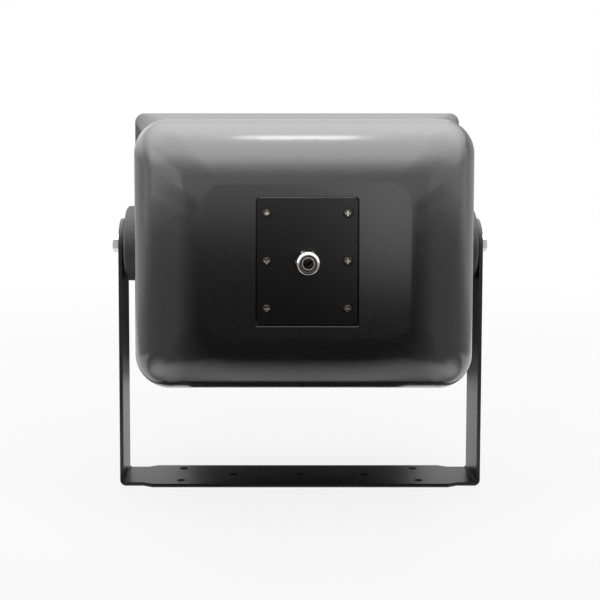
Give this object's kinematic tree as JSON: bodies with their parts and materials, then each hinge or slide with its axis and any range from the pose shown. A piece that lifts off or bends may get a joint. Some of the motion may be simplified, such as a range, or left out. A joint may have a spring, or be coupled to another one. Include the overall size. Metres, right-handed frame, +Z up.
{
  "type": "horn speaker",
  "caption": "Weatherproof horn loudspeaker: rounded box shell with a flared rectangular mouth, rear cover with cable gland, on a tilting U-shaped strap bracket.",
  "frame": {"origin": "middle of the bracket base's underside, under the tilt axis, at the centre of the base bolt pattern", "axes": "+Z up from the bracket base, +Y towards the rear cover and cable gland, so the horn mouth faces -Y, X along the tilt axis"},
  "size_m": [0.3148, 0.2268, 0.3146],
  "materials": {
    "black_paint": "satin",
    "bright_zinc": "satin",
    "black_rubber": "matte",
    "plain_brass": "satin",
    "shell_plastic": "satin",
    "black_aluminium": "matte",
    "dark_steel": "satin",
    "nickel": "polished",
    "cast_aluminium": "satin",
    "inner_plastic": "matte",
    "amber_film": "satin",
    "copper": "satin",
    "ferrite": "matte",
    "core_steel": "matte",
    "lead_cover": "satin"
  },
  "bodies": {
    "bracket": {"u_bracket": "black_paint"},
    "speaker": {"pivot_bolts": "bright_zinc", "pivot_washers": "bright_zinc", "friction_washers": "black_rubber", "pivot_inserts": "plain_brass", "rear_shell": "shell_plastic", "horn_flare": "black_aluminium", "mouth_gasket": "black_rubber", "horn_screws": "dark_steel", "cover_plate": "black_aluminium", "cover_gasket": "black_rubber", "cover_screws": "dark_steel", "gland_washer": "black_rubber", "gland_body": "nickel", "gland_nut": "nickel", "gland_seal": "black_rubber", "gland_locknut": "nickel", "throat_gasket": "black_rubber", "driver_housing": "cast_aluminium", "phase_plug": "inner_plastic", "diaphragm": "amber_film", "voice_coil": "copper", "top_plate": "bright_zinc", "ring_magnet": "ferrite", "pole_yoke": "bright_zinc", "driver_bolts": "bright_zinc", "driver_terminal": "inner_plastic", "driver_tabs": "plain_brass", "transformer_core": "core_steel", "transformer_winding": "copper", "transformer_frame": "bright_zinc", "transformer_screws": "bright_zinc", "terminal_block": "inner_plastic", "terminal_screws": "bright_zinc", "clamp_screws": "plain_brass", "input_leads": "lead_cover", "driver_leads": "lead_cover"}
  },
  "joints": [
    {"name": "tilt", "type": "hinge", "parent": "bracket", "child": "speaker", "pos_m": [0, 0, 0.202], "axis": [1, 0, 0], "range_deg": [-90, 90]}
  ]
}
